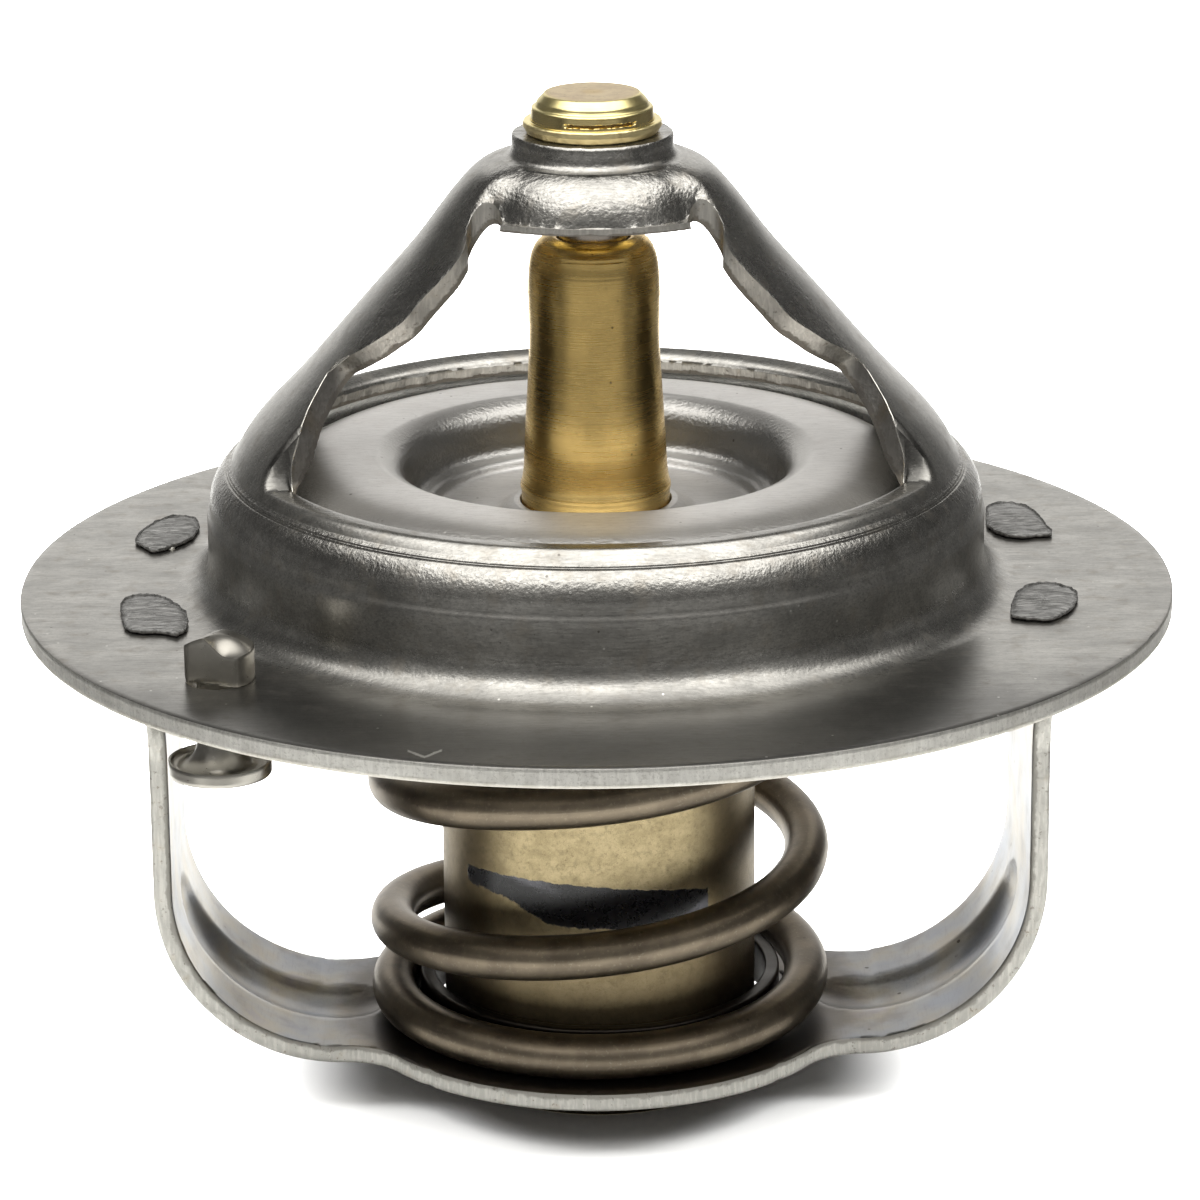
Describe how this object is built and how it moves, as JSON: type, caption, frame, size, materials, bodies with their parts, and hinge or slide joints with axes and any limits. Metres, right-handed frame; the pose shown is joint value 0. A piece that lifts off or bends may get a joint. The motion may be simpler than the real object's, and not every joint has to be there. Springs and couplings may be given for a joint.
{
  "type": "engine thermostat",
  "caption": "Flanged poppet valve for an engine's coolant, opened by a wax element and closed by a coil spring, with a loose vent pin in its flange.",
  "frame": {"origin": "on the valve's axis, at the foot of the wax element's cup, which is the lowest point", "axes": "+Z along the valve's axis towards the bridge's crown; the bridge's arms and the stirrup's legs lie along X; the vent pin is at about 220 degrees from +X"},
  "size_m": [0.056, 0.056, 0.0496],
  "materials": {
    "sheet_steel": "satin drawn stainless sheet with sheared edges",
    "strap_steel": "satin pressed sheet with faint heat tint",
    "valve_steel": "satin pressed sheet",
    "spring_steel": "drawn wire, brownish grey",
    "pin_steel": "ground stainless rod",
    "vent_steel": "smooth barrelled stainless",
    "plug_brass": "bright turned brass",
    "guide_brass": "turned brass, browned",
    "cup_brass": "tarnished brass with a black paint patch",
    "seal_rubber": "matte black rubber",
    "ring_plastic": "hard white plastic",
    "wax": "copper-filled wax, matte"
  },
  "bodies": {
    "frame": {"frame_body": "sheet_steel", "pin_seat_plug": "plug_brass", "piston": "pin_steel", "stirrup": "strap_steel", "main_spring": "spring_steel"},
    "valve": {"guide_stem": "guide_brass", "wiper_seal": "seal_rubber", "backup_washer": "ring_plastic", "rubber_boot": "seal_rubber", "wax_charge": "wax", "element_cup": "cup_brass", "valve_disc": "valve_steel"},
    "vent": {"jiggle_pin": "vent_steel"}
  },
  "joints": [
    {"name": "valve_lift", "type": "slide", "parent": "frame", "child": "valve", "axis": [0, 0, -1], "range_m": [0, 0.008], "stiffness_N_per_m": 6800, "deforming": ["main_spring"]},
    {"name": "vent_slide", "type": "slide", "parent": "frame", "child": "vent", "axis": [0, 0, 1], "range_m": [0, 0.0027]}
  ]
}
